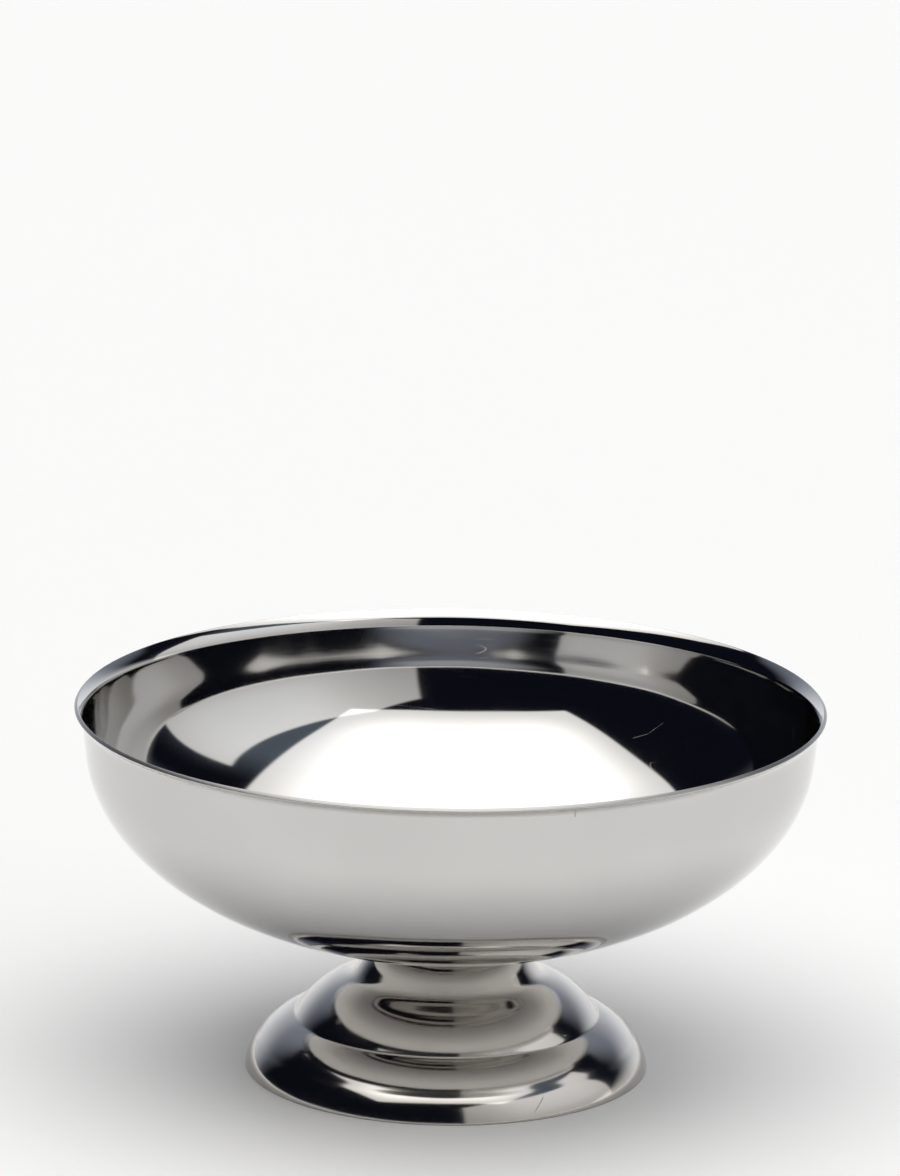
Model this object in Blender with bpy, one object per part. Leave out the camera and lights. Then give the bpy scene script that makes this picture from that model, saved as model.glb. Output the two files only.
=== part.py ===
"""Footed ice cream bowl of polished sheet steel.

A round drawn bowl with a flared lip stands on a hollow, stepped foot. The flat crown of the foot lies
under the flat bottom of the bowl, and spot welds through the crown hold the two pressings together.
Lengths are in metres. The origin is the centre of the circle that the foot stands on, with +Z up.
"""

from math import acos, asin, atan2, cos, hypot, pi, radians, sin, sqrt, tan

import bmesh
import bpy

# Bowl: leans are counted outwards from upright
RIM_RADIUS = 0.0600
LIP_LENGTH = 0.00075
LIP_LEAN = radians(48)
LIP_BEND_RADIUS = 0.0026
WALL_BAND = 0.0054
WALL_LEAN = radians(5.7)
BOWL_ROUND_HEIGHT = 0.0303
BOWL_FLAT_RADIUS = 0.0135
BOWL_SHEET = 0.0007

# Foot, from its crown down: each tier has a width, a drop and the angle that its bulge turns through
CROWN_RADIUS = 0.0110
UPPER_TIER_WIDTH = 0.0042
UPPER_TIER_DROP = 0.0063
UPPER_TIER_TURN = radians(24)
MIDDLE_TIER_WIDTH = 0.0092
MIDDLE_TIER_DROP = 0.0065
MIDDLE_TIER_TURN = radians(46)
LOWER_TIER_WIDTH = 0.0058
LOWER_TIER_DROP = 0.0040
LOWER_TIER_TURN = radians(38)
FLANGE_WIDTH = 0.0021
FLANGE_DROP = 0.0045
FLANGE_TURN = radians(42)
VALLEY_FILLET = 0.0032
CREASE_FILLET = 0.0007
FOOT_SHEET = 0.0007

# Spot welds in the foot's crown
WELD_COUNT = 4
WELD_RADIUS = 0.0020
WELD_INSET = 0.0050
WELD_STAND = 0.0003
WELD_EDGE = 0.0002

# Fits
JOINT_GAP = 0.0003
WELD_CLEARANCE = 0.0003

# Facets
TURN_STEPS = 60
WELD_STEPS = 24
ROUND_POINTS = 14
TIER_POINTS = 5
FILLET_POINTS = 4
MERGE_DISTANCE = 0.000001
SHARP_ANGLE = radians(30)


def even_steps(first, last, count):
    """Evenly spaced values from first to last."""
    return [first + (last - first) * i / (count - 1) for i in range(count)]


class Tier:
    """A convex arc of the foot's outer profile, from its upper inner end to its lower outer end."""

    def __init__(self, top, width, drop, turn):
        self.top = top
        self.bottom = (top[0] + width, top[1] - drop)
        chord = hypot(width, drop)
        self.radius = chord / (2 * sin(turn / 2))
        normal = (drop / chord, width / chord)
        depth = self.radius * cos(turn / 2)
        self.centre = (top[0] + width / 2 - normal[0] * depth, top[1] - drop / 2 - normal[1] * depth)

    def angle_of(self, point):
        """Elevation of the arc's outward normal at a point on it."""
        return atan2(point[1] - self.centre[1], point[0] - self.centre[0])

    def points(self, first, last, count):
        """Points along the arc from first to last, both on the arc."""
        start = self.angle_of(first)
        step = (self.angle_of(last) - start) / (count - 1)
        return arc_points(self.centre, self.radius, start, step, count)


def arc_points(centre, radius, start, step, count):
    """Points on a circle in the profile plane, angles counted up from the outward direction."""
    angles = [start + step * i for i in range(count)]
    return [(centre[0] + radius * cos(a), centre[1] + radius * sin(a)) for a in angles]


def fillet_centre(upper, lower, radius):
    """Centre of the circle outside two tiers that touches both, on the outer side of their corner."""
    reach_upper = upper.radius + radius
    reach_lower = lower.radius + radius
    across = lower.centre[0] - upper.centre[0]
    up = lower.centre[1] - upper.centre[1]
    span = hypot(across, up)
    along = (reach_upper ** 2 - reach_lower ** 2 + span ** 2) / (2 * span)
    aside = sqrt(reach_upper ** 2 - along ** 2)
    foot = (upper.centre[0] + across * along / span, upper.centre[1] + up * along / span)
    side = (-up * aside / span, across * aside / span)
    both = [(foot[0] + side[0], foot[1] + side[1]), (foot[0] - side[0], foot[1] - side[1])]
    corner = upper.bottom
    return min(both, key=lambda point: hypot(point[0] - corner[0], point[1] - corner[1]))


def touch_point(tier, centre, radius):
    """Where a fillet circle touches a tier's arc."""
    share = tier.radius / (tier.radius + radius)
    return (
        tier.centre[0] + (centre[0] - tier.centre[0]) * share,
        tier.centre[1] + (centre[1] - tier.centre[1]) * share,
    )


def inward_normal(start, end):
    """Unit normal of a profile step, on the side of the metal when the step runs down the outside."""
    across = end[0] - start[0]
    up = end[1] - start[1]
    length = hypot(across, up)
    return (up / length, -across / length)


def inner_skin(outer, sheet):
    """The outer profile moved inwards by the sheet's thickness, mitred at its corners."""
    normals = [inward_normal(a, b) for a, b in zip(outer, outer[1:])]
    before = normals[:1] + normals
    after = normals + normals[-1:]
    skin = []
    for point, n1, n2 in zip(outer, before, after):
        scale = sheet / (1 + n1[0] * n2[0] + n1[1] * n2[1])
        skin.append((point[0] + (n1[0] + n2[0]) * scale, point[1] + (n1[1] + n2[1]) * scale))
    return skin


def lip_profile():
    """The lip from its edge through its bend, measured from where the bend leaves the wall."""
    leans = even_steps(LIP_LEAN, WALL_LEAN, FILLET_POINTS)
    bend = [(cos(WALL_LEAN) - cos(lean), sin(lean) - sin(WALL_LEAN)) for lean in leans]
    bend = [(LIP_BEND_RADIUS * across, LIP_BEND_RADIUS * up) for across, up in bend]
    edge = (bend[0][0] + LIP_LENGTH * sin(LIP_LEAN), bend[0][1] + LIP_LENGTH * cos(LIP_LEAN))
    return [edge] + bend


def round_profile(wall_radius):
    """The elliptical round from the foot of the wall, where it leans as the wall does, down to the flat."""
    slope = tan(WALL_LEAN)
    spread = wall_radius ** 2 - BOWL_FLAT_RADIUS ** 2 - 2 * slope * wall_radius * BOWL_ROUND_HEIGHT
    ratio = BOWL_ROUND_HEIGHT / sqrt(spread)
    # The ellipse would be widest this far above the foot of the wall.
    above = slope * wall_radius * ratio ** 2
    semi_z = hypot(ratio * wall_radius, above)
    semi_r = semi_z / ratio
    angles = even_steps(asin(above / semi_z), acos(BOWL_FLAT_RADIUS / semi_r), ROUND_POINTS)
    return [(semi_r * cos(a), BOWL_ROUND_HEIGHT + above - semi_z * sin(a)) for a in angles]


def bowl_outer_profile():
    """Lip, leaning wall, elliptical round and flat bottom, with the underside at height zero."""
    lip = lip_profile()
    wall_top_radius = RIM_RADIUS - lip[0][0]
    wall_top = BOWL_ROUND_HEIGHT + WALL_BAND * cos(WALL_LEAN)
    lip = [(wall_top_radius + across, wall_top + up) for across, up in lip]
    body = round_profile(wall_top_radius - WALL_BAND * sin(WALL_LEAN))
    return lip + body + [(0.0, 0.0)]


def foot_tiers():
    """The foot's four convex steps, each starting where the one above it ends."""
    crown_height = UPPER_TIER_DROP + MIDDLE_TIER_DROP + LOWER_TIER_DROP + FLANGE_DROP
    upper = Tier((CROWN_RADIUS, crown_height), UPPER_TIER_WIDTH, UPPER_TIER_DROP, UPPER_TIER_TURN)
    middle = Tier(upper.bottom, MIDDLE_TIER_WIDTH, MIDDLE_TIER_DROP, MIDDLE_TIER_TURN)
    lower = Tier(middle.bottom, LOWER_TIER_WIDTH, LOWER_TIER_DROP, LOWER_TIER_TURN)
    flange = Tier(lower.bottom, FLANGE_WIDTH, FLANGE_DROP, FLANGE_TURN)
    return upper, middle, lower, flange


def hollow_fillet(upper, lower, radius):
    """Points of the round hollow between two tiers, from where it leaves one to where it meets the other."""
    centre = fillet_centre(upper, lower, radius)
    leave = touch_point(upper, centre, radius)
    meet = touch_point(lower, centre, radius)
    # The circle lies outside the metal, so each end is on its far side from the tier's own centre.
    start = upper.angle_of(leave) + pi
    step = (lower.angle_of(meet) + pi - start) / (FILLET_POINTS - 1)
    return arc_points(centre, radius, start, step, FILLET_POINTS)


def foot_outer_profile():
    """Crown, the tiers with their round hollows between them, and the flange down to its edge."""
    upper, middle, lower, flange = foot_tiers()
    valley = hollow_fillet(upper, middle, VALLEY_FILLET)
    crease = hollow_fillet(middle, lower, CREASE_FILLET)
    profile = [(0.0, upper.top[1])]
    profile += upper.points(upper.top, valley[0], TIER_POINTS)
    profile += valley[1:-1]
    profile += middle.points(valley[-1], crease[0], TIER_POINTS)
    profile += crease[1:-1]
    profile += lower.points(crease[-1], lower.bottom, TIER_POINTS)
    profile += flange.points(flange.top, flange.bottom, TIER_POINTS)[1:-1]
    return profile + [(flange.bottom[0], 0.0)]


def turned_mesh(name, profile, steps):
    """A closed body turned about Z from a profile that starts and ends on the axis."""
    shape = bmesh.new()
    verts = [shape.verts.new((r, 0.0, z)) for r, z in profile]
    edges = [shape.edges.new(pair) for pair in zip(verts, verts[1:])]
    bmesh.ops.spin(shape, geom=verts + edges, axis=(0, 0, 1), cent=(0, 0, 0), angle=2 * pi, steps=steps)
    bmesh.ops.remove_doubles(shape, verts=shape.verts, dist=MERGE_DISTANCE)
    bmesh.ops.recalc_face_normals(shape, faces=shape.faces)
    mesh = bpy.data.meshes.new(name)
    shape.to_mesh(mesh)
    shape.free()
    mesh.shade_smooth()
    mesh.set_sharp_from_angle(angle=SHARP_ANGLE)
    return mesh


def steel(name, colour, roughness):
    """Bare polished stainless steel."""
    material = bpy.data.materials.new(name)
    material.use_nodes = True
    shader = material.node_tree.nodes["Principled BSDF"]
    shader.inputs["Base Color"].default_value = (*colour, 1.0)
    shader.inputs["Metallic"].default_value = 1.0
    shader.inputs["Roughness"].default_value = roughness
    return material


def add_part(name, mesh, material, parent, location=(0.0, 0.0, 0.0)):
    """One named piece, hung on the assembly's empty."""
    part = bpy.data.objects.new(name, mesh)
    bpy.context.scene.collection.objects.link(part)
    part.parent = parent
    part.location = location
    if material and not mesh.materials:
        mesh.materials.append(material)
    return part


def make_bowl(parent, seat_height):
    """The drawn bowl, its underside one joint gap above the foot's crown."""
    outer = bowl_outer_profile()
    inner = inner_skin(outer, BOWL_SHEET)
    mesh = turned_mesh("bowl", inner[::-1] + outer, TURN_STEPS)
    material = steel("bowl_steel", (0.66, 0.64, 0.61), 0.08)
    return add_part("bowl", mesh, material, parent, (0.0, 0.0, seat_height))


def make_foot(parent):
    """The pressed foot, open underneath, whose cut edge lies flat on the table."""
    outer = foot_outer_profile()
    inner = inner_skin(outer, FOOT_SHEET)
    edge_normal = inward_normal(outer[-2], outer[-1])
    inner[-1] = (outer[-1][0] + FOOT_SHEET / edge_normal[0], 0.0)
    mesh = turned_mesh("foot", outer + inner[::-1], TURN_STEPS)
    return add_part("foot", mesh, steel("foot_steel", (0.64, 0.61, 0.57), 0.10), parent)


def weld_places():
    """Weld centres, evenly spaced on a circle set in from the crown's edge."""
    circle = CROWN_RADIUS - WELD_INSET
    angles = [2 * pi * (i + 0.5) / WELD_COUNT for i in range(WELD_COUNT)]
    return [(circle * cos(a), circle * sin(a)) for a in angles]


def cut_weld_hole(foot, name, place, crown_height, parent):
    """A round hole through the crown, wider than its weld by the clearance all round."""
    radius = WELD_RADIUS + WELD_CLEARANCE
    rise = 2 * FOOT_SHEET
    profile = [(0.0, rise), (radius, rise), (radius, -rise), (0.0, -rise)]
    mesh = turned_mesh(name, profile, WELD_STEPS)
    cutter = add_part(name, mesh, None, parent, (*place, crown_height - FOOT_SHEET / 2))
    cutter.hide_render = True
    cutter.display_type = "WIRE"
    hole = foot.modifiers.new(name, "BOOLEAN")
    hole.operation = "DIFFERENCE"
    hole.object = cutter


def weld_mesh():
    """A weld nugget: as deep as the crown's sheet, with a low bevelled button standing below it."""
    bottom = -FOOT_SHEET - WELD_STAND
    profile = [
        (0.0, 0.0),
        (WELD_RADIUS, 0.0),
        (WELD_RADIUS, bottom + WELD_EDGE),
        (WELD_RADIUS - WELD_EDGE, bottom),
        (0.0, bottom),
    ]
    return turned_mesh("weld", profile, WELD_STEPS)


def main():
    for old in list(bpy.data.objects):
        bpy.data.objects.remove(old)
    assembly = bpy.data.objects.new("ice_cream_bowl", None)
    bpy.context.scene.collection.objects.link(assembly)
    crown_height = foot_tiers()[0].top[1]
    make_bowl(assembly, crown_height + JOINT_GAP)
    foot = make_foot(assembly)
    nugget = weld_mesh()
    nugget_steel = steel("weld_steel", (0.52, 0.48, 0.43), 0.35)
    for number, place in enumerate(weld_places(), start=1):
        cut_weld_hole(foot, f"weld_hole_{number}", place, crown_height, assembly)
        add_part(f"weld_{number}", nugget, nugget_steel, assembly, (*place, crown_height))


main()
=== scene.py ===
# %% [markdown]
# This is a footed ice cream bowl of polished stainless steel: a round pressed bowl that stands on a
# stepped, hollow foot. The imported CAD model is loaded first, as a fixed frame with the right sizes.
# Its walls are made of flat facets, though, and a mirror finish shows every facet. So each pressing is
# made again here as a fine turned surface in the same place, and then the steel, the studio and the
# camera are added around it.

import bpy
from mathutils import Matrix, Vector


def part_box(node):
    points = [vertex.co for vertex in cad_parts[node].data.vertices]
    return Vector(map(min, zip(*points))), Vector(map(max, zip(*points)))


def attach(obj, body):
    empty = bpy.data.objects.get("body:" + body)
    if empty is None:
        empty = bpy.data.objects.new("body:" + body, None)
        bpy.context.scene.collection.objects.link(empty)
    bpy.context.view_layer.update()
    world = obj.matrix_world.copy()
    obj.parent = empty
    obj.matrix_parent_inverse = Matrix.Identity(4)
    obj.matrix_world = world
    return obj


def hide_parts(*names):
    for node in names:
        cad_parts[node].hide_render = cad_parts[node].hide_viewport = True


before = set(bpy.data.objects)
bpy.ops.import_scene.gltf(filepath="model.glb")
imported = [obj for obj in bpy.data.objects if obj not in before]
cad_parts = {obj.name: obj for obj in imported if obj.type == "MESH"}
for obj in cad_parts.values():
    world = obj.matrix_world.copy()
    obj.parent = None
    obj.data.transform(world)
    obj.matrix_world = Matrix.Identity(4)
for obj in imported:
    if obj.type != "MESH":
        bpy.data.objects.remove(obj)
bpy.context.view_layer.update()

# %% [markdown]
# The boxes of the CAD nodes give the sizes that the new surfaces have to keep: how wide and high the rim
# is, where the bowl sits and how wide the foot spreads. Reading them from the frame, and not typing them
# again, means that a changed CAD model is followed without an edit here.

# %% Read the main sizes off the frame
import numpy as np

mm = 0.001
bowl_low, bowl_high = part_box("bowl")
foot_low, foot_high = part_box("foot")
rim_radius = bowl_high.x
rim_top = bowl_high.z
seat_height = bowl_low.z
foot_radius = foot_high.x
print(f"rim radius {rim_radius / mm:.2f} mm, rim top {rim_top / mm:.2f} mm, seat {seat_height / mm:.2f} mm")
print(f"foot radius {foot_radius / mm:.2f} mm, crown top {foot_high.z / mm:.2f} mm")

# %% [markdown]
# Both pressings are round, so each is an outline in radius and height, carried once round the upright
# axis. An outline is drawn with plain arcs and straight lines that meet in corners. Real sheet is never
# bent that sharply, so the corners are then relaxed: every point is averaged with its neighbours along
# the curve, over a wide stretch at a soft bend and a narrow one at a crease. Fillet arcs would do as
# well, but averaging leaves no jump in curvature, and a mirror shows such a jump as a kink.

# %% Outline tools
PITCH = 0.05 * mm


def lengths(points):
    """Length along an outline up to each point: the running sum of the distances between points."""
    steps = np.hypot(*np.diff(points, axis=0).T)
    return np.concatenate([[0.0], np.cumsum(steps)])


def respaced(points, pitch=PITCH):
    """The same outline with its points evenly spaced, by linear interpolation on its length."""
    length = lengths(points)
    wanted = np.linspace(0.0, length[-1], int(round(length[-1] / pitch)) + 1)
    return np.stack([np.interp(wanted, length, points[:, axis]) for axis in (0, 1)], axis=1)


def relaxed(points, bends):
    """An outline with its corners rounded. Each point becomes a mean of the points near it, weighted by
    exp(-(distance along the curve / spread)^2 / 2). The spread is the bend's own number near its corner
    and fades to nothing four spreads away, so the rest of the outline and its ends stay put."""
    points = respaced(points)
    spread = np.full(len(points), PITCH / 50)
    for corner, width in bends:
        away = np.hypot(*(points - corner).T)
        spread = np.maximum(spread, width * np.clip(2 - away / (2 * width), 0, 1))
    length = lengths(points)
    weight = np.exp(-0.5 * ((length[:, None] - length) / spread[:, None]) ** 2)
    return weight @ points / weight.sum(axis=1, keepdims=True)


def left_normals(points):
    """Unit normals on the left of travel: the direction of the curve turned by a quarter."""
    along = np.gradient(points, axis=0)
    along /= np.hypot(*along.T)[:, None]
    return np.stack([-along[:, 1], along[:, 0]], axis=1)


def bulged(start, end, turn, count=60):
    """An arc from start to end that turns clockwise by an angle. With the chord c and half the turn h, a
    point at angle t between -h and h is c (sin t + sin h) / (2 sin h) along the chord and
    c (cos t - cos h) / (2 sin h) beside it."""
    start, end = np.array(start), np.array(end)
    chord = end - start
    beside = np.array([-chord[1], chord[0]])
    half = np.radians(turn) / 2
    t = np.linspace(-half, half, count)[:, None]
    offset = chord * (np.sin(t) + np.sin(half)) + beside * (np.cos(t) - np.cos(half))
    return start + offset / (2 * np.sin(half))


print("outlines are spaced at", PITCH / mm, "mm")

# %% [markdown]
# The bowl is drawn from one disc of sheet. From the middle outwards its outside is a flat that sits on
# the foot, a round that is nearly a quarter of an ellipse, a short straight wall that leans out by a few
# degrees, and a lip that bends further out and stiffens the rim. The inside is the same curve, one sheet
# thickness further in. The cut edge between the two is dulled, so that it doesn't hurt the hand. The lean
# is small, but the wall mirrors the far side of the bowl, and a wall that stood upright would show quite
# another picture there.

# %% Outline of the bowl
SHEET = 0.7 * mm
FLAT_RADIUS = 13.5 * mm
WALL_BAND = 5.4 * mm
WALL_LEAN = np.radians(5.7)
LIP_LEAN = np.radians(48)
LIP_RADIUS = 2.6 * mm
LIP_LENGTH = 0.75 * mm
FLAT_BEND = 0.9 * mm
WALL_BEND = 0.6 * mm
LIP_BEND = 0.25 * mm
EDGE_DULLING = 0.09 * mm


def sheet_ring(outer, thickness):
    """Outer skin, cut edge and inner skin as one outline. The inner skin is the outer one moved to the
    left of travel by the thickness."""
    inner = outer + thickness * left_normals(outer)
    ring = np.concatenate([outer, inner[::-1]])
    return relaxed(ring, [(outer[-1], EDGE_DULLING), (inner[-1], EDGE_DULLING)])


def heading(lean):
    """Direction of a line that leans out from upright: radius by the angle's sine, height by its cosine."""
    return np.array([np.sin(lean), np.cos(lean)])


def bowl_lip():
    """An arc whose lean goes from the wall's to the lip's, and a straight end. The arc is drawn from its
    centre as radius = -R cos lean, height = R sin lean, and then all is moved so that its end is the rim."""
    lean = np.linspace(WALL_LEAN, LIP_LEAN, 30)
    bend = LIP_RADIUS * np.stack([-np.cos(lean), np.sin(lean)], axis=1)
    end = bend[-1] + LIP_LENGTH * heading(LIP_LEAN)
    rim = [rim_radius, rim_top - SHEET * np.sin(LIP_LEAN)]
    return np.concatenate([bend, [end]]) - end + rim


def bowl_round(top):
    """The ellipse radius = a cos t, height = centre - b sin t through the flat's edge and the point given,
    where it leans as the wall does. With q = tan lean, H the height between the two points and R, F their
    radii, (b / a)^2 = H^2 / (R^2 - F^2 - 2 q R H), and the centre is q R (b / a)^2 above the point."""
    radius, rise = top[0], top[1] - seat_height
    slope = np.tan(WALL_LEAN)
    ratio = rise / np.sqrt(radius**2 - FLAT_RADIUS**2 - 2 * slope * radius * rise)
    above = slope * radius * ratio**2
    depth = np.hypot(ratio * radius, above)
    t = np.linspace(np.arccos(FLAT_RADIUS * ratio / depth), np.arcsin(above / depth), 240)
    return np.stack([depth / ratio * np.cos(t), top[1] + above - depth * np.sin(t)], axis=1)


def bowl_outline():
    """Flat, round, wall and lip, and back along the inside: from the middle of the underside, over the lip,
    to the middle of the floor."""
    lip = bowl_lip()
    body = bowl_round(lip[0] - WALL_BAND * heading(WALL_LEAN))
    bends = [(body[0], FLAT_BEND), (body[-1], WALL_BEND), (lip[0], LIP_BEND), (lip[-2], LIP_BEND)]
    outer = np.concatenate([[[0.0, seat_height]], body, lip])
    return sheet_ring(relaxed(outer, bends), SHEET)


bowl_ring = bowl_outline()
print(f"bowl outline: {len(bowl_ring)} points, {lengths(bowl_ring)[-1] / mm:.1f} mm long")

# %% [markdown]
# The foot is pressed from a second disc, in four convex steps below a flat crown. The steps meet in
# creases, all but the first, which is a wide soft hollow like a neck. Each step is an arc that is known
# from how far it spreads, how far it drops and how much it turns. The steps are drawn from the table
# upwards, so that the metal again lies on the left of travel.

# %% Outline of the foot
CROWN_TOP = seat_height - 0.05 * mm
CROWN_BEND = 0.45 * mm
NECK_BEND = 1.2 * mm
CREASE_BEND = 0.2 * mm
UPPER_STEP = dict(spread=5.0 * mm, drop=6.3 * mm, turn=33)
MIDDLE_STEP = dict(spread=9.2 * mm, drop=6.5 * mm, turn=46)
LOWER_STEP = dict(spread=5.8 * mm, drop=4.0 * mm, turn=38)
FLANGE_STEP = dict(spread=2.1 * mm, drop=4.5 * mm, turn=36)


def foot_outline():
    """Arcs from the table up to the crown, each bulging outwards, then a flat to the axis. The result runs
    from the middle of the hollow, round the edge that is cut flat on the table, to the crown's middle."""
    corner = np.array([foot_radius, 0.0])
    corners, arcs = [], []
    for step in (FLANGE_STEP, LOWER_STEP, MIDDLE_STEP, UPPER_STEP):
        above = corner + [-step["spread"], step["drop"]]
        arcs.append(bulged(above, corner, step["turn"])[::-1])
        corner = above
        corners.append(corner)
    low_crease, high_crease, neck, shoulder = corners
    crown = np.array([[shoulder[0], CROWN_TOP], [0.0, CROWN_TOP]])
    bends = [
        (low_crease, CREASE_BEND),
        (high_crease, CREASE_BEND),
        (neck, NECK_BEND),
        (crown[0], CROWN_BEND),
    ]
    outer = relaxed(np.concatenate([*arcs, crown]), bends)
    ring = sheet_ring(outer[::-1], -SHEET)[::-1]
    return np.maximum(ring, 0.0)


foot_ring = foot_outline()
print(f"foot outline: {len(foot_ring)} points, {lengths(foot_ring)[-1] / mm:.1f} mm long")

# %% [markdown]
# Turning an outline gives the surface: every outline point at every angle. A mirror needs many points
# where the metal bends and few where it is nearly straight, so the outlines are first thinned to a set
# number of points that crowd together where the sheet turns. Even spacing would do too, but with many
# times as many points.

# %% Thin the outlines
SHELL_ROWS = 300
BEND_PULL = 4 * mm


def thinned(points):
    """The outline with a set number of points, packed by turning: the share of points on a stretch is in
    proportion to its length plus the pull times the angle, in radians, that it turns through."""
    along = np.gradient(points, axis=0)
    course = np.unwrap(np.arctan2(along[:, 1], along[:, 0]))
    effort = lengths(points) + BEND_PULL * np.concatenate([[0.0], np.cumsum(np.abs(np.diff(course)))])
    wanted = np.linspace(0.0, effort[-1], SHELL_ROWS)
    return np.stack([np.interp(wanted, effort, points[:, axis]) for axis in (0, 1)], axis=1)


bowl_rows = thinned(bowl_ring)
foot_rows = thinned(foot_ring)
for name, rows in (("bowl", bowl_rows), ("foot", foot_rows)):
    gaps = np.diff(lengths(rows)) / mm
    print(f"{name}: {len(rows)} points, {gaps.min():.3f} to {gaps.max():.3f} mm apart")

# %% [markdown]
# Pressed sheet is never perfectly round. It keeps faint waves of about a hundredth of a millimetre from
# the tool, far too little to see in the shape, but they make the reflections waver as they do in real
# polished steel. A bump in the material could do this too, but then it would be missing from the mesh.

# %% Turn the outlines
TURN_STEPS = 288
WAVE_HEIGHT = 0.008 * mm
WAVES = [(1.0, 5, 0.11, 0.0), (0.7, 11, -0.17, 1.0), (0.5, 23, 0.29, 2.0), (0.6, 2, 0.63, 0.0)]
EDGE_FADE = 4 * mm
AXIS_FADE = 30 * mm


def pressing_waves(outline, angle, edge):
    """Height of the faint waves: a sum of sines, each with its share of the height, its count of waves in
    a turn, its radians per millimetre along the outline and its phase. The sum fades to nothing at the
    cut edge, which stays true, and with the cube of the radius towards the axis."""
    length = lengths(outline)[:, None] / mm
    waves = sum(share * np.sin(count * angle + rate * length + phase) for share, count, rate, phase in WAVES)
    from_edge = np.abs(outline[:, 1:] - edge)
    fade = np.clip(from_edge / EDGE_FADE, 0, 1) * np.clip(outline[:, :1] / AXIS_FADE, 0, 1) ** 3
    return WAVE_HEIGHT * fade * waves


def turned(outline, edge):
    """The outline carried round the axis: x = r cos a, y = r sin a, z = h, with the waves along its
    outward normals."""
    angle = np.arange(TURN_STEPS) * (2 * np.pi / TURN_STEPS)
    moved = -pressing_waves(outline, angle, edge)[..., None] * left_normals(outline)[:, None, :]
    radius, height = np.moveaxis(outline[:, None, :] + moved, -1, 0)
    return np.stack([radius * np.cos(angle), radius * np.sin(angle), height], axis=-1)


bowl_grid = turned(bowl_rows, rim_top)
foot_grid = turned(foot_rows, 0.0)
print("grids of points:", bowl_grid.shape[:2], "for the bowl and", foot_grid.shape[:2], "for the foot")

# %% [markdown]
# A grid becomes a mesh when quads join its rows. Each outline starts and ends on the axis, so a fan of
# triangles round one point closes the surface at either end, and nothing stays open. The volume inside
# tells whether the faces look outwards: if they looked inwards, it would come out negative.

# %% Closed skins
import bpy


def closed_skin(name, grid, first, last):
    """A closed mesh from rows of points round an axis: quads between neighbouring rows, and a fan that
    joins the first row to one point and the last row to another."""
    rows, steps = grid.shape[:2]
    points = np.concatenate([grid.reshape(-1, 3), [first, last]])
    here = np.arange(rows * steps).reshape(rows, steps)
    there = np.roll(here, -1, axis=1)
    quads = np.stack([here[:-1], there[:-1], there[1:], here[1:]], axis=-1).reshape(-1, 4)
    start = np.full(steps, rows * steps)
    first_fan = np.stack([start, there[0], here[0]], axis=1)
    last_fan = np.stack([here[-1], there[-1], start + 1], axis=1)
    mesh = bpy.data.meshes.new(name)
    mesh.from_pydata(points.tolist(), [], quads.tolist() + first_fan.tolist() + last_fan.tolist())
    mesh.shade_smooth()
    piece = bpy.data.objects.new(name, mesh)
    bpy.context.scene.collection.objects.link(piece)
    return piece


def volume(piece):
    """Volume inside a closed mesh: a sixth of the sum of a . (b x c) over its triangles."""
    mesh = piece.data
    mesh.calc_loop_triangles()
    corners = np.empty(3 * len(mesh.loop_triangles), np.int32)
    mesh.loop_triangles.foreach_get("vertices", corners)
    points = np.empty(3 * len(mesh.vertices))
    mesh.vertices.foreach_get("co", points)
    a, b, c = np.moveaxis(points.reshape(-1, 3)[corners.reshape(-1, 3)], 1, 0)
    return np.sum(a * np.cross(b, c)) / 6


print("skins are closed by a fan at each end")

# %% [markdown]
# Now the two pressings themselves. Each rides on the one rigid body of the model and hides the faceted
# node that it stands for.

# %% Bowl and foot
bowl_shell = closed_skin("bowl_shell", bowl_grid[1:-1], [0, 0, bowl_rows[0, 1]], [0, 0, bowl_rows[-1, 1]])
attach(bowl_shell, "root")
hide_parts("bowl")
foot_shell = closed_skin("foot_shell", foot_grid[1:-1], [0, 0, foot_rows[0, 1]], [0, 0, foot_rows[-1, 1]])
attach(foot_shell, "root")
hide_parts("foot")
for shell in (bowl_shell, foot_shell):
    print(f"{shell.name}: {len(shell.data.polygons)} faces, {volume(shell) / mm**3:.0f} cubic mm of steel")

# %% [markdown]
# Four spot welds hold the foot to the bowl. Each is a low round button under the crown, pressed by the
# electrode: a rounded shoulder, a shallow dish in the middle and faint rings. Its shape is a height over
# a disc, in radius and angle, closed on top inside the crown's metal.

# %% Weld buttons
WELD_STEPS = 72
WELD_ROWS = 40
SHOULDER_POWER = 6
DISH_DEPTH = 0.35
RING_DEPTH = 0.04
RING_RATE = 16
UNEVEN = 0.02


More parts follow.
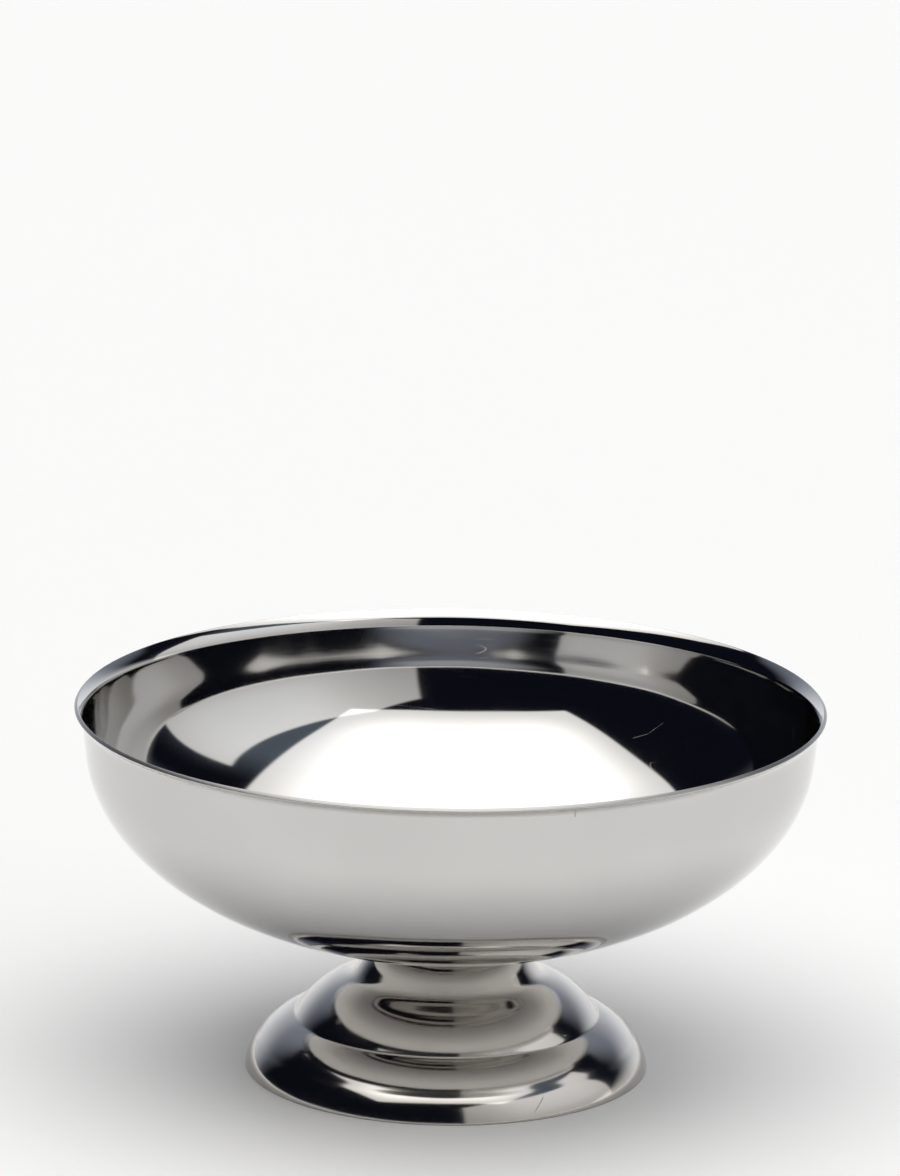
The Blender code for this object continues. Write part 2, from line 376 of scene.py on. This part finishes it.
def weld_button(name, node):
    """Below the crown: depth = stand (1 - share^6)^(1/2) (1 - dish e^(-(2 share)^2) + rings), share being
    the radius over the button's radius, and all of it slightly uneven round the button. The rim is joined
    to one point in the crown's metal."""
    low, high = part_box(node)
    centre = (low + high) / 2
    reach = (high.x - low.x) / 2
    crown_under = CROWN_TOP - SHEET
    stand = crown_under - low.z
    share = np.sin(np.linspace(0.0, np.pi / 2, WELD_ROWS))[1:, None]
    angle = np.arange(WELD_STEPS) * (2 * np.pi / WELD_STEPS)
    uneven = 1 + UNEVEN * np.sin(3 * angle + 9 * centre.x / mm)
    dish = 1 - DISH_DEPTH * np.exp(-((2 * share) ** 2)) + RING_DEPTH * np.cos(RING_RATE * share)
    shoulder = np.sqrt(1 - share**SHOULDER_POWER)
    depth = stand * shoulder * dish * uneven / (1 + RING_DEPTH) / (1 + UNEVEN)
    depth[-1] = -stand / 2
    radius = reach * share * np.ones_like(angle)
    x, y = centre.x + radius * np.cos(angle), centre.y + radius * np.sin(angle)
    grid = np.stack([x, y, crown_under - depth], axis=-1)
    top = [centre.x, centre.y, crown_under + stand / 2]
    middle = [centre.x, centre.y, crown_under - stand * (1 - DISH_DEPTH)]
    return closed_skin(name, grid, middle, top)


weld_nodes = sorted(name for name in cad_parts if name.startswith("weld"))
weld_buttons = []
for node in weld_nodes:
    button = weld_button(node.replace("weld", "weld_button"), node)
    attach(button, "root")
    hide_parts(node)
    weld_buttons.append(button)
print("weld buttons, cubic mm:", [round(volume(button) / mm**3, 2) for button in weld_buttons])

# %% [markdown]
# Materials are written as sums. A small class holds one output socket of a node tree, and arithmetic on
# it adds Math nodes, so that a pattern reads like its formula. Every other node comes from one method:
# its type, then its settings, then the values or links of its sockets.

# %% Sums that build node trees
class Field:
    """A value that varies from place to place: one output socket of a node tree."""

    def __init__(self, tree, socket=None):
        self.tree = tree
        self.socket = socket

    def node(self, kind, settings, inputs, output=0):
        """Adds a node, sets its settings, fills its sockets by name or number, and gives one output."""
        made = self.tree.nodes.new(kind)
        for name, value in settings.items():
            setattr(made, name, value)
        for name, value in inputs.items():
            if isinstance(value, Field):
                self.tree.links.new(value.socket, made.inputs[name])
            else:
                made.inputs[name].default_value = value
        return Field(self.tree, made.outputs[output] if made.outputs else None)

    def beside(self, output):
        """Another output of the same node."""
        return Field(self.tree, self.socket.node.outputs[output])

    def math(self, operation, *values):
        """A Math node that works on the values given."""
        return self.node("ShaderNodeMath", {"operation": operation}, dict(enumerate(values)))

    def __add__(self, other):
        return self.math("ADD", self, other)

    def __sub__(self, other):
        return self.math("SUBTRACT", self, other)

    def __rsub__(self, other):
        return self.math("SUBTRACT", other, self)

    def __mul__(self, other):
        return self.math("MULTIPLY", self, other)

    def __truediv__(self, other):
        return self.math("DIVIDE", self, other)

    __radd__ = __add__
    __rmul__ = __mul__

    def step(self, low, high):
        """0 below low, 1 above high and a smooth rise between."""
        ends = {"Value": self, "From Min": low, "From Max": high}
        return self.node("ShaderNodeMapRange", {"interpolation_type": "SMOOTHSTEP"}, ends)

    def within(self, low, high, soft):
        """1 between low and high, 0 outside, with edges that are soft on both sides."""
        return self.step(low - soft, low + soft) * (1 - self.step(high - soft, high + soft))

    def inside(self, low, high, fade):
        """0 at low and high and outside, and 1 from a fade's length inside them."""
        return self.step(low, low + fade) * (1 - self.step(high - fade, high))

    def mixed(self, first, second):
        """A colour that goes from the first to the second as this value goes from 0 to 1."""
        settings = {"data_type": "RGBA"}
        return self.node("ShaderNodeMix", settings, {0: self, 6: first, 7: second}, 2)


print("node sums ready")

# %% [markdown]
# Polished steel is a metal of a pale, slightly warm grey. What tells it from chrome is what polishing and
# use leave on it: fine lines that run round the piece, because it was buffed on a turning spindle, a
# faint haze that comes and goes, and a few hairline scratches. The lines need a pattern that follows the
# turning. Noise in four dimensions gives it without a seam: radius and height at a fine scale, and the
# direction round the axis, as its cosine and sine, at a coarse one.

# %% Coordinates round the axis
AXIS_GUARD = 0.01


def new_material(name):
    """A new material with an empty node tree, and a Field to build it from."""
    material = bpy.data.materials.new(name)
    material.use_nodes = True
    material.node_tree.nodes.clear()
    return material, Field(material.node_tree)


def turning_coordinates(make):
    """Object coordinates as x, y, height, and radius = sqrt(x^2 + y^2), all in millimetres. A small guard
    is added under the root, so that nothing is divided by zero on the axis."""
    place = make.node("ShaderNodeTexCoord", {}, {}, "Object")
    x = make.node("ShaderNodeSeparateXYZ", {}, {0: place})
    y, height = x.beside(1) / mm, x.beside(2) / mm
    x = x / mm
    radius = make.math("SQRT", x * x + y * y + AXIS_GUARD)
    return x, y, height, radius


def buffing_noise(make, coordinates, fine, coarse, detail):
    """Noise that is stretched round the axis: fine is its repeats per millimetre across the lines, and
    coarse how often it changes in a radian round the axis."""
    x, y, height, radius = coordinates
    across = {0: radius * fine, 1: height * fine, 2: x / radius * coarse}
    vector = make.node("ShaderNodeCombineXYZ", {}, across)
    sockets = {"Vector": vector, "W": y / radius * coarse, "Scale": 1.0, "Detail": detail}
    return make.node("ShaderNodeTexNoise", {"noise_dimensions": "4D"}, sockets)


def cloud_noise(make, coordinates, scale, detail):
    """Plain noise with a number of blotches per millimetre."""
    x, y, height, radius = coordinates
    vector = make.node("ShaderNodeCombineXYZ", {}, {0: x, 1: y, 2: height})
    return make.node("ShaderNodeTexNoise", {}, {"Vector": vector, "Scale": scale, "Detail": detail})


print("patterns follow the turning, in millimetres")

# %% [markdown]
# A used bowl has marks of its own: a nick under the rim, a short scratch on the foot, a curved one inside
# the bowl and a few dried drops. A scratch lies where the surface meets a thin slab, and it ends where
# the slab ends. It scatters light, so it looks dark against a bright reflection and bright against a dark
# one. Roughness gives most of that, and a darker grey is mixed in. An image could hold the marks as well,
# but a slab needs only two points and a width, and it stays sharp however near the camera comes.

# %% Marks of use
SCRATCH_TAPER = 0.15
SCRATCH_CORE = 0.3
SCRATCH_NEAR = (1.5, 2.0)
DROP_RING = (0.3, 0.8)
DROP_FAINT = 0.4


def offsets(coordinates, point):
    """Distance in x, y and height from a point, in millimetres."""
    x, y, height, radius = coordinates
    return x - point[0], y - point[1], height - point[2]


def dot(values, direction):
    """Sum of three fields times three numbers."""
    return sum(value * float(share) for value, share in zip(values, direction))


def scratch(make, coordinates, start, end, width):
    """1 on a scratch between two points in millimetres. Across is the distance from the plane that holds
    both points and the direction away from the axis; along runs from 0 to 1 between the points. Places
    further away than the scratch is long are left out, because the plane meets the piece there again."""
    start, end = np.array(start), np.array(end)
    length = np.linalg.norm(end - start)
    course = (end - start) / length
    outward = (start + end) * [1, 1, 0]
    side = np.cross(course, outward)
    side /= np.linalg.norm(side)
    away = offsets(coordinates, start)
    across = make.math("ABSOLUTE", dot(away, side))
    along = dot(away, course) / length
    squared = dot([value * value for value in away], (1, 1, 1))
    here = 1 - squared.step(SCRATCH_NEAR[0] * length**2, SCRATCH_NEAR[1] * length**2)
    return along.inside(0.0, 1.0, SCRATCH_TAPER) * (1 - across.step(SCRATCH_CORE * width, width)) * here


def drop_mark(make, coordinates, centre, reach):
    """A dried drop: 1 at its outline and fainter inside, by the distance from its middle."""
    away = offsets(coordinates, centre)
    distance = make.math("SQRT", dot([value * value for value in away], (1, 1, 1)))
    middle, ring = DROP_RING[0] * reach, DROP_RING[1] * reach
    film = DROP_FAINT + (1 - DROP_FAINT) * distance.step(middle, ring)
    return (1 - distance.step(ring, reach)) * film


print("marks: scratches from slabs, drops from spheres")

# %% [markdown]
# The polish itself is not quite even. The buffing lines and hairlines make a relief that is far thinner
# than a hair, so it is a bump and not a shape. The cut edge of each sheet was ground to take off the
# burr, so it is duller and darker than the faces, and it is found by its place: it is all that lies ahead
# of a plane across the end of the sheet. On the foot that edge stands on the table, and there its darker
# grey is also painted shade: the dark line where the foot meets the table.

# %% Relief, hairlines and the cut edge
RELIEF_DEPTH = 0.0006 * mm
HAIRLINE_WIDTH = (0.001, 0.004)
HAIRLINE_PATCHES = (0.56, 0.66)
EDGE_SETBACK = (-0.16, -0.10)


def fine_bump(make, relief, strength, depth):
    """A normal from a relief: its height times a depth, and a share of the tilt that this gives."""
    return make.node("ShaderNodeBump", {}, {"Strength": strength, "Distance": depth, "Height": relief})


def hairlines(make, coordinates, fine, coarse, patch):
    """Thin scratches: the places where a stretched noise passes through one half, kept in a few patches."""
    field = buffing_noise(make, coordinates, fine, coarse, detail=0.0)
    thin = 1 - make.math("ABSOLUTE", field - 0.5).step(*HAIRLINE_WIDTH)
    return thin * cloud_noise(make, coordinates, patch, detail=1.0).step(*HAIRLINE_PATCHES)


def cut_edge(coordinates, radius, height, lean):
    """1 on the cut edge of a sheet that ends at a radius and height and points in the direction of a lean.
    Relaxing an outline draws its end back by nearly a tenth of a millimetre, and all the rest of the piece
    lies further behind the plane of the cut."""
    ahead = heading(lean)
    forward = (coordinates[3] - radius / mm) * ahead[0] + (coordinates[2] - height / mm) * ahead[1]
    return forward.step(*EDGE_SETBACK)


def finish_steel(make, colour, roughness, bump):
    """The closing shader: a metal with the colour and roughness given and the bump on its normal."""
    sockets = {"Base Color": colour, "Metallic": 1.0, "Roughness": roughness, "Normal": bump}
    shader = make.node("ShaderNodeBsdfPrincipled", {}, sockets)
    make.node("ShaderNodeOutputMaterial", {}, {"Surface": shader})


print("relief of the polish:", RELIEF_DEPTH / mm, "mm")

# %% [markdown]
# The outside of both pressings and the inside of the bowl are polished to a mirror, the bowl more finely
# than the foot. Two materials from one recipe keep them alike and still let each have its own grey, its
# own polish and its own marks. The foot's greys are painted shade: they are darker and warmer than the
# bowl's, so that the foot shows the shaded table under the bowl that it mirrors.

# %% Polished steel
BOWL_PALE = (0.600, 0.592, 0.579, 1)
BOWL_DEEP = (0.580, 0.572, 0.559, 1)
# Painted shade: the foot's two greys are darker and warmer than the bowl's, for the shaded table under the
# bowl that the foot mirrors.
SHADED_FOOT_PALE = (0.550, 0.529, 0.500, 1)
SHADED_FOOT_DEEP = (0.530, 0.509, 0.480, 1)
SCRATCH_GREY = (0.400, 0.390, 0.380, 1)
# Grey of the ground cut edge; on the foot's edge on the table it is also painted shade, the dark line where
# the foot meets the table.
GROUND_EDGE_AND_SHADE_GREY = (0.400, 0.393, 0.382, 1)
BOWL_POLISH = 0.045
FOOT_POLISH = 0.090
DULLED_BY = {"lines": 0.02, "haze": 0.03, "hairlines": 0.10, "edge": 0.3, "scratches": 0.45, "drops": 0.12}


def polished_steel(name, deep, pale, polish, end, scratches, drops):
    """Colour: two greys mixed by soft clouds, and a darker one in scratches and on the cut edge, which is
    ground and not polished; on the foot's edge on the table that darker grey is also painted shade.
    Roughness: the polish, plus what dulls it: buffing lines, haze, hairlines, the ground edge and the marks
    of use. Bump: the buffing lines and the hairlines."""
    material, make = new_material(name)
    coordinates = turning_coordinates(make)
    clouds = cloud_noise(make, coordinates, scale=0.05, detail=2.0)
    masks = {
        "lines": buffing_noise(make, coordinates, fine=5.0, coarse=2.5, detail=2.0),
        "haze": cloud_noise(make, coordinates, scale=0.09, detail=3.0).step(0.5, 0.75),
        "hairlines": hairlines(make, coordinates, fine=0.35, coarse=3.0, patch=0.12),
        "edge": cut_edge(coordinates, *end),
        "scratches": sum(scratch(make, coordinates, *mark) for mark in scratches),
        "drops": sum(drop_mark(make, coordinates, *drop) for drop in drops),
    }
    steel = clouds.step(0.3, 0.7).mixed(deep, pale)
    colour = masks["scratches"].mixed(masks["edge"].mixed(steel, GROUND_EDGE_AND_SHADE_GREY), SCRATCH_GREY)
    roughness = polish + sum(DULLED_BY[cause] * mask for cause, mask in masks.items())
    relief = 0.5 * masks["lines"] - 0.5 * masks["hairlines"]
    finish_steel(make, colour, roughness, fine_bump(make, relief, 1.0, RELIEF_DEPTH))
    return material


print("polished steel dulled by", DULLED_BY)

# %% [markdown]
# The marks are placed by points on the surface, in millimetres from the middle of the table under the
# bowl. The camera stands on the negative side of the second axis. Each scratch has two points and a
# width, and each drop a middle and a reach.

# %% Put the polish on the bowl and foot
BOWL_SCRATCHES = [
    ([19.4, -55.6, 57.4], [19.4, -56.2, 59.0], 0.16),
    ([30.0, 45.0, 42.1], [33.0, 44.1, 43.3], 0.05),
    ([32.7, 44.1, 43.1], [35.4, 43.5, 45.4], 0.05),
]
FOOT_SCRATCHES = [
    ([15.4, -26.6, 3.4], [13.7, -28.6, 1.0], 0.12),
    ([21.5, -17.0, 9.6], [23.1, -14.8, 9.1], 0.10),
]
BOWL_DROPS = [([-2.6, 52.6, 44.6], 0.8), ([17.0, -20.0, 23.5], 0.9)]
FOOT_DROPS = [([-17.0, -14.0, 11.0], 0.7)]

bowl_end = (rim_radius, rim_top - SHEET * np.sin(LIP_LEAN), LIP_LEAN)
# The foot's cut edge is the ring on the table: its darker grey there also paints the shade where the foot
# meets the table.
foot_end = (foot_radius, 0.0, np.pi)
bowl_marks = (BOWL_SCRATCHES, BOWL_DROPS)
foot_marks = (FOOT_SCRATCHES, FOOT_DROPS)
bowl_steel = polished_steel("polished_bowl_steel", BOWL_DEEP, BOWL_PALE, BOWL_POLISH, bowl_end, *bowl_marks)
foot_steel = polished_steel("polished_foot_steel", SHADED_FOOT_DEEP, SHADED_FOOT_PALE, FOOT_POLISH, foot_end, *foot_marks)
bowl_shell.data.materials.append(bowl_steel)
foot_shell.data.materials.append(foot_steel)
for steel in (bowl_steel, foot_steel):
    print(f"{steel.name}: {len(steel.node_tree.nodes)} nodes")

# %% [markdown]
# Spot welding heats the steel until it colours: a grey middle where the electrode pressed, a blue ring
# and a straw-coloured halo that fades into the sheet. Foot and welds share this tint, so it is made once,
# from the distance to the nearest weld, and it runs on without a break from the one to the other.

# %% Heat tint round the welds
WELD_STRAW = (0.500, 0.385, 0.230, 1)
WELD_BLUE = (0.180, 0.210, 0.330, 1)
HALO = dict(low=0.4, high=1.9, soft=0.35)
BLUE_RING = dict(low=0.85, high=1.35, soft=0.18)
HALO_SHARE = 0.85
RING_SHARE = 0.8
RAGGED = 0.5

weld_low, weld_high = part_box(weld_nodes[0])
weld_place = abs(weld_low.x + weld_high.x) / 2 / mm
weld_reach = (weld_high.x - weld_low.x) / 2 / mm


def heat_tint(make, coordinates, steel):
    """Straw and blue rings round the welds, laid over a colour. The four welds lie alike in the four
    quarters, so the distance to the nearest is that from (|x|, |y|) to one of them. It is counted in the
    weld's radius, and noise makes the rings ragged."""
    x, y, height, radius = coordinates
    aside = make.math("ABSOLUTE", x) - weld_place
    ahead = make.math("ABSOLUTE", y) - weld_place
    ragged = RAGGED * cloud_noise(make, coordinates, scale=0.9, detail=2.0)
    distance = (make.math("SQRT", aside * aside + ahead * ahead) + ragged) / weld_reach
    halo = HALO_SHARE * distance.within(**HALO)
    ring = RING_SHARE * distance.within(**BLUE_RING)
    return ring.mixed(halo.mixed(steel, WELD_STRAW), WELD_BLUE), distance


print(f"welds of radius {weld_reach:.2f} mm, {weld_place:.2f} mm out along each axis")

# %% [markdown]
# The foot's hollow is never seen in use, so it keeps the satin skin of the rolled sheet. Its lines run
# straight, as the sheet came from the mill, and not round the axis like those of the buffing.

# %% Satin steel in the foot
SATIN_PALE = (0.560, 0.545, 0.525, 1)
SATIN_DEEP = (0.500, 0.486, 0.468, 1)
SATIN = 0.26
ROLLING_ALONG = 0.08
ROLLING_ACROSS = 4.0


def satin_steel(name):
    """Colour: two greys mixed by the rolling lines, with the tint of the welds. Roughness: satin, varied by
    the same lines and by clouds. Bump: the lines."""
    material, make = new_material(name)
    coordinates = turning_coordinates(make)
    x, y, height, radius = coordinates
    rolled = {0: x * ROLLING_ALONG, 1: y * ROLLING_ACROSS, 2: height * ROLLING_ACROSS}
    straight = make.node("ShaderNodeCombineXYZ", {}, rolled)
    lines = make.node("ShaderNodeTexNoise", {}, {"Vector": straight, "Scale": 1.0, "Detail": 3.0})
    clouds = cloud_noise(make, coordinates, scale=0.15, detail=3.0)
    colour, distance = heat_tint(make, coordinates, lines.step(0.3, 0.7).mixed(SATIN_DEEP, SATIN_PALE))
    roughness = SATIN + 0.12 * (lines - 0.5) + 0.10 * (clouds - 0.5)
    finish_steel(make, colour, roughness, fine_bump(make, lines, 0.2, 0.002 * mm))
    return material


foot_satin = satin_steel("satin_foot_steel")
foot_shell.data.materials.append(foot_satin)
print(f"{foot_satin.name}: {len(foot_satin.node_tree.nodes)} nodes")

# %% [markdown]
# The buttons of the welds are dull where the electrode pressed and a little smoother towards their rim,
# with a fine grain all over.

# %% Weld steel
WELD_GREY = (0.420, 0.410, 0.400, 1)
WELD_DULL = 0.42


def weld_steel(name):
    """Colour: dull grey with the same tint. Roughness: dull in the middle, less so near the rim, and varied
    by the grain. Bump: the grain."""
    material, make = new_material(name)
    coordinates = turning_coordinates(make)
    grain = cloud_noise(make, coordinates, scale=6.0, detail=3.0)
    colour, distance = heat_tint(make, coordinates, grain.step(0.3, 0.7).mixed(WELD_GREY, SATIN_DEEP))
    roughness = WELD_DULL - 0.12 * distance.step(0.5, 1.0) + 0.12 * (grain - 0.5)
    finish_steel(make, colour, roughness, fine_bump(make, grain, 0.3, 0.01 * mm))
    return material


tinted_steel = weld_steel("tinted_weld_steel")
for button in weld_buttons:
    button.data.materials.append(tinted_steel)
print(f"{tinted_steel.name}: {len(tinted_steel.node_tree.nodes)} nodes on {len(weld_buttons)} welds")

# %% [markdown]
# The foot is one sheet with two finishes, so its faces are sorted. Its outline starts in the hollow, and
# the rows up to the edge on the table are the inside. The faces of the hollow's fan come after all the
# quads, as they were added.

# %% Sort the foot's faces
edge_row = int(np.argmin(foot_rows[:, 1]))
quad_rows = np.repeat(np.arange(SHELL_ROWS - 3), TURN_STEPS)
fan_rows = np.repeat([0, SHELL_ROWS], TURN_STEPS)
inside_foot = np.concatenate([quad_rows, fan_rows]) < edge_row
foot_shell.data.polygons.foreach_set("material_index", inside_foot.astype(np.int32))
print(f"foot: {inside_foot.sum()} faces are satin, {(~inside_foot).sum()} are polished")

# %% [markdown]
# The bowl stands on a plain pale sheet, wide enough to fill the picture and everything that the steel
# mirrors. It is a stage and not a part of the object.

# %% Floor
FLOOR_REACH = 6.0
FLOOR_GAP = 0.02 * mm
FLOOR_PALE = (0.93, 0.93, 0.93, 1)
FLOOR_DEEP = (0.916, 0.916, 0.916, 1)


def floor_sheet():
    """A flat square a little below the foot's edge."""
    corners = np.array([[-1, -1], [1, -1], [1, 1], [-1, 1]]) * FLOOR_REACH
    points = np.column_stack([corners, np.full(4, -FLOOR_GAP)])
    mesh = bpy.data.meshes.new("floor")
    mesh.from_pydata(points.tolist(), [], [(0, 1, 2, 3)])
    floor = bpy.data.objects.new("floor", mesh)
    bpy.context.scene.collection.objects.link(floor)
    return floor


def matt_card():
    """Matt white card with a trace of mottling."""
    material, make = new_material("floor_card")
    place = make.node("ShaderNodeTexCoord", {}, {}, "Object")
    mottle = make.node("ShaderNodeTexNoise", {}, {"Vector": place, "Scale": 3.0, "Detail": 2.0})
    sockets = {"Base Color": mottle.mixed(FLOOR_DEEP, FLOOR_PALE), "Roughness": 0.8}
    shader = make.node("ShaderNodeBsdfPrincipled", {}, sockets)
    make.node("ShaderNodeOutputMaterial", {}, {"Surface": shader})
    return material


floor = floor_sheet()
floor.data.materials.append(matt_card())
print("floor reaches", FLOOR_REACH, "m each way")

# %% [markdown]
# Steel shows its surroundings, so the studio matters more than the metal. It is a dark room with a large
# square soft box overhead, brighter in its middle, and a tall panel on the right. Behind the bowl the pale
# floor sweeps up like a sheet of paper and fades, in front of a dim bluish wall. Everything else, the
# whole left side above all, is nearly black, and it is this black that gives polished steel its depth.
# Lamps would do, but a panel painted on the world by its direction has no body that could get in the way
# of another view. The soft box comes first.

# %% Soft box
HORIZON = 0.02
BOX_COLOUR = (1.0, 0.99, 0.97)
BOX_SIDEWAYS = (-0.93, 0.77)
BOX_DEPTH = (-0.98, 0.80)
BOX_EDGE = 1.15
BOX_MIDDLE = 1.2
BOX_BLUR = 0.015
BOX_FADES = (0.5, 0.6)


def soft_box(x, y, z):
    """A rectangle on a level plane overhead, in x / z and y / z, with a bright middle that fades towards
    the edges."""
    level = z.math("MAXIMUM", z, HORIZON)
    sideways, depth = x / level, y / level
    shape = sideways.within(*BOX_SIDEWAYS, BOX_BLUR) * depth.within(*BOX_DEPTH, BOX_BLUR)
    middle = sideways.inside(*BOX_SIDEWAYS, BOX_FADES[0]) * depth.inside(*BOX_DEPTH, BOX_FADES[1])
    return shape * (BOX_EDGE + BOX_MIDDLE * middle)


box_angles = [round(float(np.degrees(np.arctan(abs(side))))) for side in (*BOX_SIDEWAYS, *BOX_DEPTH)]
print("soft box, degrees to the left, right, front and back of straight up:", box_angles)

# %% [markdown]
# The panel on the right stands on the floor and reaches from near the camera to behind the bowl. It is
# what lights the left half of the bowl's inside and the right of the foot. Light that strays from it
# leaves a dim glow on the wall above and beyond it.

# %% Side panel and its glow
PANEL_COLOUR = (0.90, 0.887, 0.865)
PANEL_BEARING = (11, 108)
PANEL_TOP = 43
PANEL_SLOPE = 0.4
PANEL_SLOPE_FROM = 30
PANEL_BLUR = 0.7
PANEL_LOW = 0.72
PANEL_RISE = 0.0085
PANEL_NEAR = 0.7
PANEL_NEAR_BEARING = (12, 50)
GLOW_COLOUR = (0.10, 0.12, 0.15)
GLOW_BEARING = (45, 103)
GLOW_HEIGHT = (10, 60)
GLOW_BLUR = (15, 8)


def side_panel(bearing, height):
    """A panel between two bearings, from the floor up to a height that falls with the slope on the near
    side of one bearing. Its brightness is a low value at the floor and rises with each degree of height, and
    it is dimmed at the near end."""
    top = PANEL_TOP - PANEL_SLOPE * bearing.math("MAXIMUM", PANEL_SLOPE_FROM - bearing, 0.0)
    below_top = 1 - (height - top).step(-PANEL_BLUR, PANEL_BLUR)
    shape = bearing.within(*PANEL_BEARING, PANEL_BLUR) * below_top
    near = PANEL_NEAR + (1 - PANEL_NEAR) * bearing.step(*PANEL_NEAR_BEARING)
    return shape * (PANEL_LOW + PANEL_RISE * height) * near


def panel_glow(bearing, height):
    """A soft patch between two bearings and two heights."""
    return bearing.within(*GLOW_BEARING, GLOW_BLUR[0]) * height.within(*GLOW_HEIGHT, GLOW_BLUR[1])


print("side panel between bearings", PANEL_BEARING, "up to", PANEL_TOP, "degrees")

# %% [markdown]
# Behind the bowl, the paper is bright at the floor and fades upwards and to the left, and the wall shows
# above it. Both are drawn as on an upright plane behind the bowl.

# %% Paper sweep and wall
PAPER_COLOUR = (0.67, 0.67, 0.66)
PAPER_TOP = 0.58
PAPER_LEFT = (-1.2, -0.2)
WALL_COLOUR = (0.25, 0.28, 0.34)
WALL_SIDES = (0.4, 1.6)
WALL_TOP = (0.9, 1.1)


def paper_sweep(x, y, z):
    """The rising paper behind the bowl, in x / y and z / y: bright at the floor, gone at its top, and fading
    out on the left. And the wall behind it, which fades to both sides and ends at its own top."""
    back = y.math("MAXIMUM", y, HORIZON)
    sideways, height = x / back, z / back
    behind = y.step(0.0, 2 * HORIZON)
    paper = behind * (1 - height.step(0.0, PAPER_TOP)) * sideways.step(*PAPER_LEFT)
    wall = behind * (1 - x.math("ABSOLUTE", sideways).step(*WALL_SIDES)) * (1 - height.step(*WALL_TOP))
    return paper, wall


print(f"paper fades out {np.degrees(np.arctan(PAPER_TOP)):.0f} degrees above the floor")

# %% [markdown]
# The world adds these up. Each is a mask times a colour, and the room's own near-black comes on top. The
# channels of a colour are summed one by one, because a Math node holds only one number.

# %% Paint the studio
ROOM_COLOUR = (0.005, 0.006, 0.011)


def paint_studio():
    """Brightness of the world by direction, as a sum of masks times colours. A bearing is counted in
    degrees from the camera's side, positive to the right, and a height up from the table."""
    world = bpy.data.worlds.new("studio")
    bpy.context.scene.world = world
    world.use_nodes = True
    world.node_tree.nodes.clear()
    make = Field(world.node_tree)
    direction = make.node("ShaderNodeTexCoord", {}, {}, "Generated")
    x = make.node("ShaderNodeSeparateXYZ", {}, {0: direction})
    y, z = x.beside(1), x.beside(2)
    bearing = make.math("ARCTAN2", x, y * -1) * (180 / np.pi)
    height = make.math("ARCSINE", z) * (180 / np.pi)
    lit = [soft_box(x, y, z), side_panel(bearing, height), panel_glow(bearing, height), *paper_sweep(x, y, z)]
    colours = [BOX_COLOUR, PANEL_COLOUR, GLOW_COLOUR, PAPER_COLOUR, WALL_COLOUR]
    channels = {}
    for channel in range(3):
        light = sum(mask * colour[channel] for mask, colour in zip(lit, colours))
        channels[channel] = light + ROOM_COLOUR[channel]
    colour = make.node("ShaderNodeCombineColor", {}, channels)
    background = make.node("ShaderNodeBackground", {}, {"Color": colour})
    make.node("ShaderNodeOutputWorld", {}, {"Surface": background})
    return world


studio = paint_studio()
print(f"{studio.name}: {len(studio.node_tree.nodes)} nodes")

# %% [markdown]
# The camera stands well back with a long lens, about 17 degrees above the table, so the rim is seen as a
# flat ellipse with hardly any perspective. It first looks straight at the middle of the bowl and is then
# turned up, because the bowl sits low in a tall picture.

# %% Camera
from mathutils import Matrix

FRAME_WIDTH = 900
FRAME_HEIGHT = 1176
FOCAL_PIXELS = 8964.5
AIM_PIXEL = (448.2, 890.3)
AIM_HEIGHT = 29 * mm
CAMERA_DISTANCE = 1.436
CAMERA_RISE = np.radians(16.677)
CAMERA_ROLL = np.radians(0.793)


def place_camera():
    """Position: distance along a line that rises from the aim. Rotation: look along that line, roll about
    it, then turn by the angles that bring the aim from the middle of the picture to its pixel."""
    lens = bpy.data.cameras.new("camera")
    lens.lens = FOCAL_PIXELS / FRAME_HEIGHT * lens.sensor_width
    lens.clip_end = 100
    camera = bpy.data.objects.new("camera", lens)
    bpy.context.scene.collection.objects.link(camera)
    look = Matrix.Rotation(np.pi / 2 - CAMERA_RISE, 4, "X") @ Matrix.Rotation(CAMERA_ROLL, 4, "Z")
    up = np.arctan((AIM_PIXEL[1] - FRAME_HEIGHT / 2) / FOCAL_PIXELS)
    across = np.arctan((AIM_PIXEL[0] - FRAME_WIDTH / 2) / FOCAL_PIXELS)
    turn = Matrix.Rotation(up, 4, "X") @ Matrix.Rotation(across, 4, "Y")
    place = (0, -CAMERA_DISTANCE * np.cos(CAMERA_RISE), AIM_HEIGHT + CAMERA_DISTANCE * np.sin(CAMERA_RISE))
    camera.matrix_world = Matrix.Translation(place) @ look @ turn
    bpy.context.scene.camera = camera
    return camera


camera = place_camera()
bpy.context.scene.view_settings.view_transform = "Standard"
print(f"lens {camera.data.lens:.1f} mm at", [round(x, 3) for x in camera.location])
